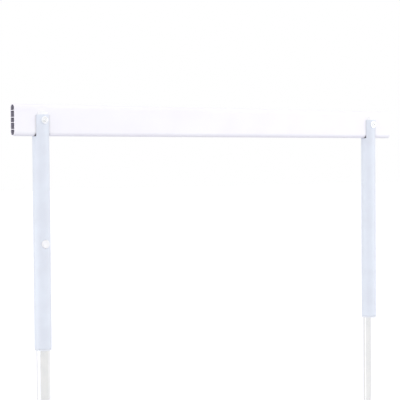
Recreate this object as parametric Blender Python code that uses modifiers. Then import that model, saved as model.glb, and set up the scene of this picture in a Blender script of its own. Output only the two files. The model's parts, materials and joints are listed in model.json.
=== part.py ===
"""Hurdle crossbar on its two telescoping uprights, in metres.

+X runs along the bar, -Y is the front, +Z is up. The origin lies on the ground, midway
between the lower ends of the two posts. The bar lies in slots cut across the tops of the
sleeves. The sleeves slide on the posts, and a sprung friction lock in each holds the height.
"""

import math

import bmesh
import bpy
from mathutils import Matrix

MM = 0.001

# Gap left between neighbouring solids
GAP = 0.3 * MM

# Crossbar: an extruded plank with round edges and five chambers
BAR_LENGTH = 1180 * MM
BAR_HEIGHT = 75 * MM
BAR_DEPTH = 20 * MM
BAR_WALL = 2 * MM
WEB_THICKNESS = 1.5 * MM
OUTER_WEB_HEIGHT = 22 * MM
CHAMBER_CORNER = 1 * MM

# Height settings: the bar's top edge above the ground, and the steps below and above it
BAR_TOP = 914.4 * MM
SETTING_STEP = 76.2 * MM
STEPS_DOWN = 2
STEPS_UP = 1

# Sleeves: round tubes whose slotted tops carry the bar, each a little in from the bar's end
BAR_OVERHANG = 73 * MM
SLEEVE_RADIUS = 20 * MM
SLEEVE_WALL = 2 * MM
SLEEVE_LENGTH = 550 * MM
EAR_HEIGHT = 50.5 * MM
SLOT_CORNER = 3 * MM
TUBE_CHAMFER = 0.4 * MM

# Guide bush in each sleeve's lower end, and the cap that guides each post's upper end
GUIDE_WALL = 1.4 * MM
BUSH_LENGTH = 38 * MM
BUSH_FLANGE = 4 * MM
BUSH_ROUNDING = 1 * MM
CAP_SKIRT = 9 * MM
CAP_TOP = 2.5 * MM
CAP_HEADROOM = 2 * MM

# Posts
POST_WALL = 2 * MM

# Packers that fill the half-moon spaces between the bar and the sleeve, with domed tops. They
# stop where the bar's lower edge starts to curve away.
PACKER_DOME = 9.5 * MM
PACKER_FOOT = 9 * MM

# Bar bolts: flanged button-head screws with hexagon sockets, washers, spacers and cap nuts
BOLT_RADIUS = 4 * MM
HEAD_FLANGE_RADIUS = 8.75 * MM
HEAD_FLANGE_THICKNESS = 1.3 * MM
HEAD_DOME_RADIUS = 7 * MM
HEAD_HEIGHT = 4.4 * MM
SOCKET_WIDTH = 5 * MM
SOCKET_DEPTH = 2.6 * MM
WASHER_THICKNESS = 0.8 * MM
SPACER_WALL = 0.65 * MM
NUT_WIDTH = 13 * MM
NUT_HEIGHT = 12 * MM
NUT_SHOULDER = 7 * MM
NUT_CROWN = 2.5 * MM
BOLT_REACH_IN_NUT = 8 * MM

# Height lock: a push button on a stem, which runs in a long slot in the post
BUTTON_RADIUS = 10 * MM
BUTTON_PROUD = 0.6 * MM
BUTTON_ROUNDING = 1.2 * MM
BUTTON_TRAVEL = 2 * MM
STEM_RADIUS = 4 * MM
STOP_CLEARANCE = 0.8 * MM
SHOE_HALF_WIDTH = 9 * MM
SHOE_HALF_HEIGHT = 10 * MM
SHOE_THICKNESS = 5.7 * MM
SPRING_WIRE = 1.1 * MM
SPRING_RADIUS = 5.5 * MM
SPRING_TURNS = 5
POINTS_PER_TURN = 10
PEG_LENGTH = 4 * MM

# Facets around a full turn
TUBE_FACETS = 48
SMALL_FACETS = 24
ARC_STEPS = 10
DOME_STEPS = 7
CORNER_STEPS = 3
MERGE_DISTANCE = 0.00001

# Places that follow from the sizes above
UPRIGHT_X = BAR_LENGTH / 2 - BAR_OVERHANG
BAR_CENTRE_Z = BAR_TOP - BAR_HEIGHT / 2
BAR_BOTTOM = BAR_TOP - BAR_HEIGHT
SLOT_FLOOR = BAR_BOTTOM - GAP
SLOT_HALF_WIDTH = BAR_DEPTH / 2 + GAP
SLEEVE_TOP = BAR_BOTTOM + EAR_HEIGHT
SLEEVE_BOTTOM = SLEEVE_TOP - SLEEVE_LENGTH
SLEEVE_BORE = SLEEVE_RADIUS - SLEEVE_WALL
GUIDE_RADIUS = SLEEVE_BORE - GAP
POST_RADIUS = GUIDE_RADIUS - GUIDE_WALL - GAP
POST_BORE = POST_RADIUS - POST_WALL
TRAVEL_DOWN = STEPS_DOWN * SETTING_STEP
TRAVEL_UP = STEPS_UP * SETTING_STEP
POST_TOP = SLOT_FLOOR - TRAVEL_DOWN - CAP_HEADROOM - CAP_TOP - GAP
SKIRT_BOTTOM = POST_TOP + GAP - CAP_SKIRT
LOCK_Z = SKIRT_BOTTOM - 2 * GAP - BUTTON_RADIUS - TRAVEL_UP
HOLE_RADIUS = BOLT_RADIUS + GAP
SPACER_RADIUS = HOLE_RADIUS + SPACER_WALL
INNER_WEB_HEIGHT = SPACER_RADIUS + GAP + WEB_THICKNESS / 2
WASHER_SEAT = SLEEVE_RADIUS + GAP
WASHER_FACE = WASHER_SEAT + WASHER_THICKNESS
BOLT_SEAT = WASHER_FACE + GAP
BUTTON_FACE = SLEEVE_RADIUS + BUTTON_PROUD
BUTTON_UNDERSIDE = POST_RADIUS + BUTTON_TRAVEL + 2 * GAP
SHOE_RADIUS = POST_BORE - GAP
SHOE_BACK = SHOE_RADIUS - SHOE_THICKNESS

# Turns that lay a piece's own Z axis along -Y (front), +Y (rear) or +X (along the bar)
TO_FRONT = Matrix.Rotation(math.radians(90), 4, "X")
TO_REAR = Matrix.Rotation(math.radians(-90), 4, "X")
ALONG_BAR = Matrix.Rotation(math.radians(90), 4, "Z") @ TO_FRONT
HALF_TURN = Matrix.Rotation(math.radians(180), 4, "Z")

# Each side's name, the direction of its upright from the middle, and the turn of its lock:
# the two uprights are alike, and one is turned round, so its lock is at the rear
SIDES = (("left", -1, Matrix.Identity(4)), ("right", 1, HALF_TURN))


def clear_scene():
    """Remove every object, so that the script can run again in an open file."""
    for thing in list(bpy.data.objects):
        bpy.data.objects.remove(thing, do_unlink=True)
    for group in list(bpy.data.collections):
        bpy.data.collections.remove(group)


def new_collection(name):
    group = bpy.data.collections.new(name)
    bpy.context.scene.collection.children.link(group)
    return group


def new_material(name, colour, roughness, metallic=0.0):
    """Principled material from a linear colour."""
    material = bpy.data.materials.new(name)
    material.use_nodes = True
    shader = material.node_tree.nodes["Principled BSDF"]
    shader.inputs["Base Color"].default_value = (*colour, 1.0)
    shader.inputs["Roughness"].default_value = roughness
    shader.inputs["Metallic"].default_value = metallic
    material.diffuse_color = (*colour, 1.0)
    return material


def add_part(name, mesh, placement, material, parent):
    """Put a mesh in the scene as one named piece that moves with the given empty."""
    part = bpy.data.objects.new(name, mesh)
    PARTS.objects.link(part)
    part.matrix_world = placement
    part.parent = parent
    part.matrix_parent_inverse = parent.matrix_world.inverted()
    mesh.materials.append(material)
    return part


def add_cutter(name, mesh, placement=None):
    """Put a mesh in the scene as a guide for Boolean modifiers."""
    cutter = bpy.data.objects.new(name, mesh)
    CUTTERS.objects.link(cutter)
    cutter.matrix_world = placement or Matrix.Identity(4)
    cutter.hide_render = True
    cutter.display_type = "WIRE"
    return cutter


def combine(part, other, operation="DIFFERENCE"):
    boolean = part.modifiers.new(other.name, "BOOLEAN")
    boolean.operation = operation
    boolean.solver = "EXACT"
    boolean.object = other


def turn(part, facets):
    """Spin a part's profile round its own Z axis."""
    screw = part.modifiers.new("turned", "SCREW")
    screw.axis = "Z"
    screw.steps = facets
    screw.render_steps = facets
    screw.use_merge_vertices = True
    screw.merge_threshold = MERGE_DISTANCE


def shade(mesh):
    mesh.shade_smooth()
    mesh.set_sharp_from_angle(angle=math.radians(30))


def profile_mesh(name, points, closed):
    """Edges through (radius, height) points, listed down the outer side."""
    mesh = bpy.data.meshes.new(name)
    count = len(points)
    last = count if closed else count - 1
    edges = [(i, (i + 1) % count) for i in range(last)]
    mesh.from_pydata([(radius, 0, height) for radius, height in points], edges, [])
    return mesh


def prism_mesh(name, outlines, depth):
    """Solid of the given depth, centred on its own Z = 0, from flat outlines with holes."""
    curve = bpy.data.curves.new(name, "CURVE")
    curve.dimensions = "2D"
    curve.fill_mode = "BOTH"
    curve.extrude = depth / 2
    for outline in outlines:
        spline = curve.splines.new("POLY")
        spline.points.add(len(outline) - 1)
        for point, (x, y) in zip(spline.points, outline):
            point.co = (x, y, 0, 1)
        spline.use_cyclic_u = True
    return mesh_from_curve(name, curve)


def mesh_from_curve(name, curve):
    """Mesh of a curve with its caps welded on."""
    guide = bpy.data.objects.new(name, curve)
    CUTTERS.objects.link(guide)
    evaluated = guide.evaluated_get(bpy.context.evaluated_depsgraph_get())
    mesh = bpy.data.meshes.new_from_object(evaluated)
    mesh.name = name
    bpy.data.objects.remove(guide)
    solid = bmesh.new()
    solid.from_mesh(mesh)
    bmesh.ops.remove_doubles(solid, verts=solid.verts, dist=MERGE_DISTANCE)
    bmesh.ops.recalc_face_normals(solid, faces=solid.faces)
    solid.to_mesh(mesh)
    solid.free()
    mesh.materials.clear()
    return mesh


def cylinder_mesh(name, radius, depth, facets, low=None):
    """Cylinder along its own Z, centred there or standing on the height low."""
    mesh = bpy.data.meshes.new(name)
    solid = bmesh.new()
    centre = 0 if low is None else low + depth / 2
    bmesh.ops.create_cone(
        solid,
        cap_ends=True,
        segments=facets,
        radius1=radius,
        radius2=radius,
        depth=depth,
        matrix=Matrix.Translation((0, 0, centre)),
    )
    solid.to_mesh(mesh)
    solid.free()
    return mesh


def box_mesh(name, low, high):
    mesh = bpy.data.meshes.new(name)
    solid = bmesh.new()
    centre = [(a + b) / 2 for a, b in zip(low, high)]
    size = [b - a for a, b in zip(low, high)]
    place = Matrix.Translation(centre) @ Matrix.Diagonal((*size, 1))
    bmesh.ops.create_cube(solid, size=1, matrix=place)
    solid.to_mesh(mesh)
    solid.free()
    return mesh


def arc(centre, radii, start, end, steps):
    """Points along an ellipse's arc, with angles in degrees and both ends included."""
    angles = [math.radians(start + (end - start) * i / steps) for i in range(steps + 1)]
    return [(centre[0] + radii[0] * math.cos(a), centre[1] + radii[1] * math.sin(a)) for a in angles]


def rounded_box(half_width, low, high, radius):
    """Outline of a rectangle with round corners, from its lower right corner upwards."""
    across = half_width - radius
    round_corner = (radius, radius)
    return (
        arc((across, low + radius), round_corner, -90, 0, CORNER_STEPS)
        + arc((across, high - radius), round_corner, 0, 90, CORNER_STEPS)
        + arc((-across, high - radius), round_corner, 90, 180, CORNER_STEPS)
        + arc((-across, low + radius), round_corner, 180, 270, CORNER_STEPS)
    )


def bar_section():
    """The bar's outline and its five chambers, across (y, z) with the middle at zero."""
    half_depth = BAR_DEPTH / 2
    inside = half_depth - BAR_WALL
    straight = BAR_HEIGHT / 2 - half_depth
    outline = arc((0, straight), (half_depth, half_depth), 0, 180, ARC_STEPS)
    outline += arc((0, -straight), (half_depth, half_depth), 180, 360, ARC_STEPS)
    half_web = WEB_THICKNESS / 2
    middle_low = INNER_WEB_HEIGHT + half_web
    middle_high = OUTER_WEB_HEIGHT - half_web
    end_low = OUTER_WEB_HEIGHT + half_web
    centre = rounded_box(inside, -INNER_WEB_HEIGHT + half_web, INNER_WEB_HEIGHT - half_web, CHAMBER_CORNER)
    middle = rounded_box(inside, middle_low, middle_high, CHAMBER_CORNER)
    corner = (CHAMBER_CORNER, CHAMBER_CORNER)
    across = inside - CHAMBER_CORNER
    end = arc((0, straight), (inside, inside), 0, 180, ARC_STEPS)
    end += arc((-across, end_low + CHAMBER_CORNER), corner, 180, 270, CORNER_STEPS)
    end += arc((across, end_low + CHAMBER_CORNER), corner, 270, 360, CORNER_STEPS)
    chambers = [centre, middle, end]
    chambers += [[(y, -z) for y, z in chamber] for chamber in (middle, end)]
    return [outline] + chambers


def make_crossbar(bolt_holes):
    mesh = prism_mesh("crossbar", bar_section(), BAR_LENGTH)
    placement = Matrix.Translation((0, 0, BAR_CENTRE_Z)) @ ALONG_BAR
    bar = add_part("crossbar", mesh, placement, BAR_PLASTIC, SLIDE)
    for hole in bolt_holes:
        combine(bar, hole)
    shade(mesh)


def tube_profile(radius, bore, low, high, chamfer):
    """Section of a round tube with its outer edges broken."""
    return [
        (radius - chamfer, high),
        (radius, high - chamfer),
        (radius, low + chamfer),
        (radius - chamfer, low),
        (bore, low),
        (bore, high),
    ]


def make_sleeve(side, upright, bolt_hole, lock_turn):
    """Sleeve with the bar's slot, the bolt's holes and the button's hole."""
    profile = tube_profile(SLEEVE_RADIUS, SLEEVE_BORE, SLEEVE_BOTTOM, SLEEVE_TOP, TUBE_CHAMFER)
    mesh = profile_mesh(f"{side}_sleeve", profile, closed=True)
    sleeve = add_part(f"{side}_sleeve", mesh, upright, SLEEVE_PAINT, SLIDE)
    turn(sleeve, TUBE_FACETS)

    slot_outline = [
        (SLOT_HALF_WIDTH, SLEEVE_TOP + SLEEVE_RADIUS),
        (-SLOT_HALF_WIDTH, SLEEVE_TOP + SLEEVE_RADIUS),
    ]
    left_corner = (-SLOT_HALF_WIDTH + SLOT_CORNER, SLOT_FLOOR + SLOT_CORNER)
    right_corner = (SLOT_HALF_WIDTH - SLOT_CORNER, SLOT_FLOOR + SLOT_CORNER)
    corner = (SLOT_CORNER, SLOT_CORNER)
    slot_outline += arc(left_corner, corner, 180, 270, CORNER_STEPS)
    slot_outline += arc(right_corner, corner, 270, 360, CORNER_STEPS)
    slot_mesh = prism_mesh(f"{side}_bar_slot", [slot_outline], 3 * SLEEVE_RADIUS)
    combine(sleeve, add_cutter(f"{side}_bar_slot", slot_mesh, upright @ ALONG_BAR))

    combine(sleeve, bolt_hole)

    hole_mesh = cylinder_mesh(f"{side}_button_hole", BUTTON_RADIUS + GAP, 2 * SLEEVE_RADIUS, SMALL_FACETS, 0)
    hole_place = upright @ lock_turn @ Matrix.Translation((0, 0, LOCK_Z)) @ TO_FRONT
    combine(sleeve, add_cutter(f"{side}_button_hole", hole_mesh, hole_place))
    shade(mesh)


def make_post(side, upright, lock_turn):
    """Post with the long slot that the lock's stem runs in."""
    profile = tube_profile(POST_RADIUS, POST_BORE, 0, POST_TOP, TUBE_CHAMFER)
    mesh = profile_mesh(f"{side}_post", profile, closed=True)
    post = add_part(f"{side}_post", mesh, upright, POST_METAL, HELD)
    turn(post, TUBE_FACETS)

    half_width = STEM_RADIUS + GAP
    low = LOCK_Z - TRAVEL_DOWN - STOP_CLEARANCE
    high = LOCK_Z + TRAVEL_UP + STOP_CLEARANCE
    outline = arc((0, high), (half_width, half_width), 0, 180, ARC_STEPS)
    outline += arc((0, low), (half_width, half_width), 180, 360, ARC_STEPS)
    slot_mesh = prism_mesh(f"{side}_stem_slot", [outline], 2 * POST_RADIUS)
    slot_place = upright @ lock_turn @ Matrix.Translation((0, -POST_RADIUS, 0)) @ TO_FRONT
    combine(post, add_cutter(f"{side}_stem_slot", slot_mesh, slot_place))
    shade(mesh)


def make_post_cap(side, upright):
    """Cap over the post's upper end, which guides it in the sleeve's bore."""
    high = POST_TOP + GAP + CAP_TOP
    inside = POST_RADIUS + GAP
    profile = [
        (0, high),
        (GUIDE_RADIUS - BUSH_ROUNDING, high),
        (GUIDE_RADIUS, high - BUSH_ROUNDING),
        (GUIDE_RADIUS, SKIRT_BOTTOM),
        (inside, SKIRT_BOTTOM),
        (inside, POST_TOP + GAP),
        (0, POST_TOP + GAP),
    ]
    mesh = profile_mesh(f"{side}_post_cap", profile, closed=False)
    turn(add_part(f"{side}_post_cap", mesh, upright, WHITE_NYLON, HELD), TUBE_FACETS)
    shade(mesh)


def make_guide_bush(side, upright):
    """Flanged bush in the sleeve's lower end, with a running fit on the post."""
    bore = POST_RADIUS + GAP
    flange_top = SLEEVE_BOTTOM - GAP
    flange_radius = SLEEVE_RADIUS - TUBE_CHAMFER
    rounding = arc(
        (flange_radius - BUSH_ROUNDING, flange_top - BUSH_FLANGE + BUSH_ROUNDING),
        (BUSH_ROUNDING, BUSH_ROUNDING),
        0,
        -90,
        CORNER_STEPS,
    )
    profile = [
        (GUIDE_RADIUS, flange_top - BUSH_FLANGE + BUSH_LENGTH),
        (GUIDE_RADIUS, flange_top),
        (flange_radius, flange_top),
        *rounding,
        (bore, flange_top - BUSH_FLANGE),
        (bore, flange_top - BUSH_FLANGE + BUSH_LENGTH),
    ]
    mesh = profile_mesh(f"{side}_guide_bush", profile, closed=True)
    turn(add_part(f"{side}_guide_bush", mesh, upright, WHITE_NYLON, SLIDE), TUBE_FACETS)
    shade(mesh)


def make_packer(side, face, upright, bolt_hole, face_turn):
    """Half-moon packer between the bar's face and the sleeve, with a domed top."""
    shoulder = SLOT_HALF_WIDTH
    dome = arc((shoulder, SLEEVE_TOP), (GUIDE_RADIUS - shoulder, PACKER_DOME), 90, 0, DOME_STEPS)
    profile = [(0, SLEEVE_TOP + PACKER_DOME), *dome]
    profile += [(GUIDE_RADIUS, SLOT_FLOOR + PACKER_FOOT), (0, SLOT_FLOOR + PACKER_FOOT)]
    name = f"{side}_{face}_packer"
    mesh = profile_mesh(name, profile, closed=False)
    packer = add_part(name, mesh, upright @ face_turn, WHITE_NYLON, SLIDE)
    turn(packer, TUBE_FACETS)

    low = (-SLEEVE_RADIUS, -SLOT_HALF_WIDTH, SLOT_FLOOR)
    high = (SLEEVE_RADIUS, SLEEVE_RADIUS, SLEEVE_TOP + 2 * PACKER_DOME)
    combine(packer, add_cutter(f"{name}_trim", box_mesh(f"{name}_trim", low, high), upright @ face_turn))
    combine(packer, bolt_hole)
    shade(mesh)


def make_bolt(side, seat):
    """Flanged button-head screw from the front, right through to the cap nut."""
    rise = HEAD_HEIGHT - HEAD_FLANGE_THICKNESS
    dome_radius = (HEAD_DOME_RADIUS**2 + rise**2) / (2 * rise)
    half_angle = math.degrees(math.asin(HEAD_DOME_RADIUS / dome_radius))
    dome_centre = (0, HEAD_HEIGHT - dome_radius)
    dome = arc(dome_centre, (dome_radius, dome_radius), 90, 90 - half_angle, DOME_STEPS)
    length = 2 * BOLT_SEAT + BOLT_REACH_IN_NUT
    end_chamfer = BOLT_RADIUS / 5
    profile = [
        (0, HEAD_HEIGHT),
        *dome[1:],
        (HEAD_FLANGE_RADIUS, HEAD_FLANGE_THICKNESS),
        (HEAD_FLANGE_RADIUS, 0),
        (BOLT_RADIUS, 0),
        (BOLT_RADIUS, -length + end_chamfer),
        (BOLT_RADIUS - end_chamfer, -length),
        (0, -length),
    ]
    name = f"{side}_bar_bolt"
    mesh = profile_mesh(name, profile, closed=False)
    placement = seat @ TO_FRONT @ Matrix.Translation((0, 0, BOLT_SEAT))
    bolt = add_part(name, mesh, placement, BRIGHT_STEEL, SLIDE)
    turn(bolt, SMALL_FACETS)

    across_corners = SOCKET_WIDTH / 2 / math.cos(math.radians(30))
    socket_mesh = cylinder_mesh(f"{side}_socket", across_corners, HEAD_HEIGHT, 6, HEAD_HEIGHT - SOCKET_DEPTH)
    combine(bolt, add_cutter(f"{side}_socket", socket_mesh, placement))
    shade(mesh)


def make_saddle_washer(side, face, seat, to_face, bolt_hole, sleeve_form):
    """Washer that is flat for the bolt and hollowed to sit on the round sleeve."""
    name = f"{side}_{face}_saddle_washer"
    mesh = cylinder_mesh(name, HEAD_FLANGE_RADIUS, SLEEVE_RADIUS / 2, SMALL_FACETS, -SLEEVE_RADIUS / 2)
    placement = seat @ to_face @ Matrix.Translation((0, 0, WASHER_FACE))
    washer = add_part(name, mesh, placement, WASHER_NYLON, SLIDE)
    combine(washer, sleeve_form)
    combine(washer, bolt_hole)
    shade(mesh)


def make_spacer(side, seat):
    """Steel tube in the bar's middle chamber, which keeps the bolt from crushing it."""
    half_length = BAR_DEPTH / 2 - BAR_WALL - GAP
    profile = [
        (SPACER_RADIUS, half_length),
        (SPACER_RADIUS, -half_length),
        (HOLE_RADIUS, -half_length),
        (HOLE_RADIUS, half_length),
    ]
    mesh = profile_mesh(f"{side}_spacer", profile, closed=True)
    turn(add_part(f"{side}_spacer", mesh, seat @ TO_FRONT, BRIGHT_STEEL, SLIDE), SMALL_FACETS)
    shade(mesh)


def make_cap_nut(side, seat):
    """Low cap nut on the rear: a hexagon with a domed, blind end."""
    name = f"{side}_cap_nut"
    across_corners = NUT_WIDTH / 2 / math.cos(math.radians(30))
    mesh = cylinder_mesh(name, across_corners, NUT_HEIGHT, 6, 0)
    placement = seat @ TO_REAR @ Matrix.Translation((0, 0, BOLT_SEAT))
    nut = add_part(name, mesh, placement, BRIGHT_STEEL, SLIDE)

    shoulder = across_corners + GAP
    dome_radii = (shoulder - NUT_CROWN, NUT_HEIGHT - NUT_SHOULDER)
    dome = arc((NUT_CROWN, NUT_SHOULDER), dome_radii, 90, 0, DOME_STEPS)
    form_profile = [(0, NUT_HEIGHT), *dome, (shoulder, -GAP), (0, -GAP)]
    form = add_cutter(f"{name}_form", profile_mesh(f"{name}_form", form_profile, closed=False), placement)
    turn(form, SMALL_FACETS)
    combine(nut, form, "INTERSECT")

    bore_end = BOLT_REACH_IN_NUT + 2 * GAP
    bore_mesh = cylinder_mesh(f"{name}_bore", HOLE_RADIUS, 2 * bore_end, SMALL_FACETS)
    combine(nut, add_cutter(f"{name}_bore", bore_mesh, placement))
    shade(mesh)


def make_button(side, lock, parent):
    """Push button that fills the hole in the sleeve, with the stem that carries the shoe."""
    name = f"{side}_lock_button"
    rim = arc(
        (BUTTON_RADIUS - BUTTON_ROUNDING, BUTTON_FACE - BUTTON_ROUNDING),
        (BUTTON_ROUNDING, BUTTON_ROUNDING),
        90,
        0,
        CORNER_STEPS,
    )
    profile = [(0, BUTTON_FACE), *rim, (BUTTON_RADIUS, 0), (0, 0)]
    mesh = profile_mesh(name, profile, closed=False)
    button = add_part(name, mesh, lock @ TO_FRONT, WHITE_NYLON, parent)
    turn(button, TUBE_FACETS)

    under_mesh = cylinder_mesh(f"{name}_underside", BUTTON_UNDERSIDE, 4 * BUTTON_RADIUS, TUBE_FACETS)
    combine(button, add_cutter(f"{name}_underside", under_mesh, lock))

    buried = (BUTTON_FACE - BUTTON_UNDERSIDE) / 2
    stem_low = SHOE_BACK + GAP
    stem_mesh = cylinder_mesh(
        f"{name}_stem", STEM_RADIUS, BUTTON_UNDERSIDE + buried - stem_low, SMALL_FACETS, stem_low
    )
    combine(button, add_cutter(f"{name}_stem", stem_mesh, lock @ TO_FRONT), "UNION")
    shade(mesh)


def make_lock_block(name, lock, parent, back, material):
    """Block whose curved face follows the post's bore, from the plane at back outwards."""
    low = (-SHOE_HALF_WIDTH, -POST_BORE, -SHOE_HALF_HEIGHT)
    high = (SHOE_HALF_WIDTH, -back, SHOE_HALF_HEIGHT)
    block = add_part(name, box_mesh(name, low, high), lock, material, parent)
    form_mesh = cylinder_mesh(f"{name}_form", SHOE_RADIUS, 4 * SHOE_HALF_HEIGHT, TUBE_FACETS)
    combine(block, add_cutter(f"{name}_form", form_mesh, lock), "INTERSECT")
    return block


def make_shoe(side, lock, parent):
    """Brake shoe that the spring presses outwards against the post's bore."""
    name = f"{side}_lock_shoe"
    shoe = make_lock_block(name, lock, parent, SHOE_BACK, BRAKE_RUBBER)
    hole_mesh = cylinder_mesh(f"{name}_hole", STEM_RADIUS + GAP, 2 * POST_RADIUS, SMALL_FACETS, 0)
    combine(shoe, add_cutter(f"{name}_hole", hole_mesh, lock @ TO_FRONT))
    shade(shoe.data)


def make_rear_glide(side, lock):
    """Glide that bears on the far side of the post's bore, with a peg in the spring."""
    name = f"{side}_lock_glide"
    turned_lock = lock @ HALF_TURN
    glide = make_lock_block(name, turned_lock, SLIDE, SHOE_BACK, WHITE_NYLON)
    peg_radius = SPRING_RADIUS - SPRING_WIRE / 2 - 2 * GAP
    peg_mesh = cylinder_mesh(f"{name}_peg", peg_radius, 2 * PEG_LENGTH, SMALL_FACETS, SHOE_BACK - PEG_LENGTH)
    combine(glide, add_cutter(f"{name}_peg", peg_mesh, turned_lock @ TO_FRONT), "UNION")
    shade(glide.data)


def make_spring(side, lock):
    """Compression spring between the shoe and the rear glide, as one unbroken wire."""
    name = f"{side}_lock_spring"
    wire_radius = SPRING_WIRE / 2
    half_length = SHOE_BACK - GAP - wire_radius
    count = SPRING_TURNS * POINTS_PER_TURN
    curve = bpy.data.curves.new(name, "CURVE")
    curve.dimensions = "3D"
    curve.bevel_depth = wire_radius
    curve.bevel_resolution = 1
    curve.use_fill_caps = True
    spline = curve.splines.new("POLY")
    spline.points.add(count)
    for i, point in enumerate(spline.points):
        angle = 2 * math.pi * i / POINTS_PER_TURN
        along = -half_length + 2 * half_length * i / count
        point.co = (SPRING_RADIUS * math.cos(angle), SPRING_RADIUS * math.sin(angle), along, 1)
    mesh = mesh_from_curve(name, curve)
    add_part(name, mesh, lock @ TO_FRONT, SPRING_STEEL, SLIDE)
    shade(mesh)
    print(f"{name}: least gap between turns {(2 * half_length / SPRING_TURNS - SPRING_WIRE) / MM:.2f} mm")


def add_axis(name, place, parent=None):
    """Empty on a joint's axis, which carries the pieces that move with it."""
    axis = bpy.data.objects.new(name, None)
    axis.empty_display_size = 20 * MM
    PARTS.objects.link(axis)
    axis.matrix_world = place
    if parent:
        axis.parent = parent
        axis.matrix_parent_inverse = parent.matrix_world.inverted()
    return axis


def make_upright(side, direction, lock_turn, bolt_hole):
    """Everything on one side: post, sleeve, fastening of the bar, and height lock."""
    upright = Matrix.Translation((direction * UPRIGHT_X, 0, 0))
    seat = upright @ Matrix.Translation((0, 0, BAR_CENTRE_Z))
    lock = upright @ lock_turn @ Matrix.Translation((0, 0, LOCK_Z))
    press = add_axis(f"{side}_button_slide", lock, SLIDE)
    bpy.context.view_layer.update()

    form_mesh = cylinder_mesh(f"{side}_sleeve_form", WASHER_SEAT, 4 * HEAD_FLANGE_RADIUS, TUBE_FACETS)
    sleeve_form = add_cutter(f"{side}_sleeve_form", form_mesh, seat)

    make_post(side, upright, lock_turn)
    make_post_cap(side, upright)
    make_sleeve(side, upright, bolt_hole, lock_turn)
    make_guide_bush(side, upright)
    for face, face_turn, to_face in (("front", Matrix.Identity(4), TO_FRONT), ("rear", HALF_TURN, TO_REAR)):
        make_packer(side, face, upright, bolt_hole, face_turn)
        make_saddle_washer(side, face, seat, to_face, bolt_hole, sleeve_form)
    make_bolt(side, seat)
    make_spacer(side, seat)
    make_cap_nut(side, seat)
    make_button(side, lock, press)
    make_shoe(side, lock, press)
    make_spring(side, lock)
    make_rear_glide(side, lock)


clear_scene()
PARTS = new_collection("hurdle_crossbar")
CUTTERS = new_collection("cutters")

BAR_PLASTIC = new_material("white_extruded_plastic", (0.94, 0.93, 0.96), 0.35)
SLEEVE_PAINT = new_material("pale_lavender_paint", (0.70, 0.76, 0.86), 0.4)
POST_METAL = new_material("bright_zinc_plate", (0.78, 0.78, 0.78), 0.3, 1.0)
BRIGHT_STEEL = new_material("bright_steel", (0.86, 0.87, 0.88), 0.25, 1.0)
SPRING_STEEL = new_material("spring_steel", (0.45, 0.46, 0.48), 0.35, 1.0)
WHITE_NYLON = new_material("white_nylon", (0.92, 0.92, 0.93), 0.45)
WASHER_NYLON = new_material("washer_nylon", (0.85, 0.87, 0.91), 0.5)
BRAKE_RUBBER = new_material("brake_rubber", (0.04, 0.04, 0.045), 0.8)

HELD = add_axis("posts_held", Matrix.Identity(4))
SLIDE = add_axis("height_slide", Matrix.Translation((0, 0, BAR_CENTRE_Z)))
bpy.context.view_layer.update()

BOLT_HOLES = []
for side_name, side_direction, _ in SIDES:
    hole_place = Matrix.Translation((side_direction * UPRIGHT_X, 0, BAR_CENTRE_Z)) @ TO_FRONT
    hole = cylinder_mesh(f"{side_name}_bolt_hole", HOLE_RADIUS, 4 * SLEEVE_RADIUS, SMALL_FACETS)
    BOLT_HOLES.append(add_cutter(f"{side_name}_bolt_hole", hole, hole_place))

make_crossbar(BOLT_HOLES)
for (side_name, side_direction, side_turn), bolt_cutter in zip(SIDES, BOLT_HOLES):
    make_upright(side_name, side_direction, side_turn, bolt_cutter)
bpy.context.view_layer.update()
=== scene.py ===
# %% [markdown]
# # Hurdle crossbar on its two telescoping uprights: the looks
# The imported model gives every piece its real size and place. This lesson dresses it: it rebuilds
# the pieces that show with rounder tubes and softer edges, gives each its finish, and sets up a
# plain studio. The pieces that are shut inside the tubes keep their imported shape, and only get a
# finish.

import json
import math

import bmesh
import bpy
from mathutils import Matrix, Vector


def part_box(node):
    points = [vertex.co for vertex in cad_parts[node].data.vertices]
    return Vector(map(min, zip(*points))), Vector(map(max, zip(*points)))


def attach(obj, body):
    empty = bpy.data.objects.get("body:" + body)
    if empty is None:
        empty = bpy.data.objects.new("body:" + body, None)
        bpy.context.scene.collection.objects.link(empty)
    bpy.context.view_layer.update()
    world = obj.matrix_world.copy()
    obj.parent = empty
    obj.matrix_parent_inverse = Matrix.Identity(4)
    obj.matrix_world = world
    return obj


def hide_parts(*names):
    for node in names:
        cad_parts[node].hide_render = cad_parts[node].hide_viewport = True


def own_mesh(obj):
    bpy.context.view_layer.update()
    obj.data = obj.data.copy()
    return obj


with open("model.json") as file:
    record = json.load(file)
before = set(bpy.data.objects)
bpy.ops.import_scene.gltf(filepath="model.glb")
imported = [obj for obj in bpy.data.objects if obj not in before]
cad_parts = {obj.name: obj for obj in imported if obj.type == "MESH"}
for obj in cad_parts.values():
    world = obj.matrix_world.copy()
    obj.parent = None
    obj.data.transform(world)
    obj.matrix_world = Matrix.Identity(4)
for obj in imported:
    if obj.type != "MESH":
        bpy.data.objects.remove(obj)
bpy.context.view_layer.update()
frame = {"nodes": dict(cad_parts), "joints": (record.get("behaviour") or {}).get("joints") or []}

# %% [markdown]
# ## Sizes
# What a box can't tell, such as the wall of a tube or the radius of a corner, is named in
# millimetres in the cell that first needs it.

# %% Units, clearances, and how finely round things are divided
MM = 0.001
GAP = 0.3 * MM
SAME_PLACE = 0.01 * MM
SAME_POINT = 0.001 * MM
TUBE_STEPS = 120
SMALL_STEPS = 72
print("Tubes have", TUBE_STEPS, "sides and small round pieces", SMALL_STEPS)


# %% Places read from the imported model
def middle(node):
    low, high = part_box(node)
    return (low + high) / 2


def extent(node):
    low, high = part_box(node)
    return high - low


def joint_named(name):
    return next(joint for joint in frame["joints"] if joint["name"] == name)


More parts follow.
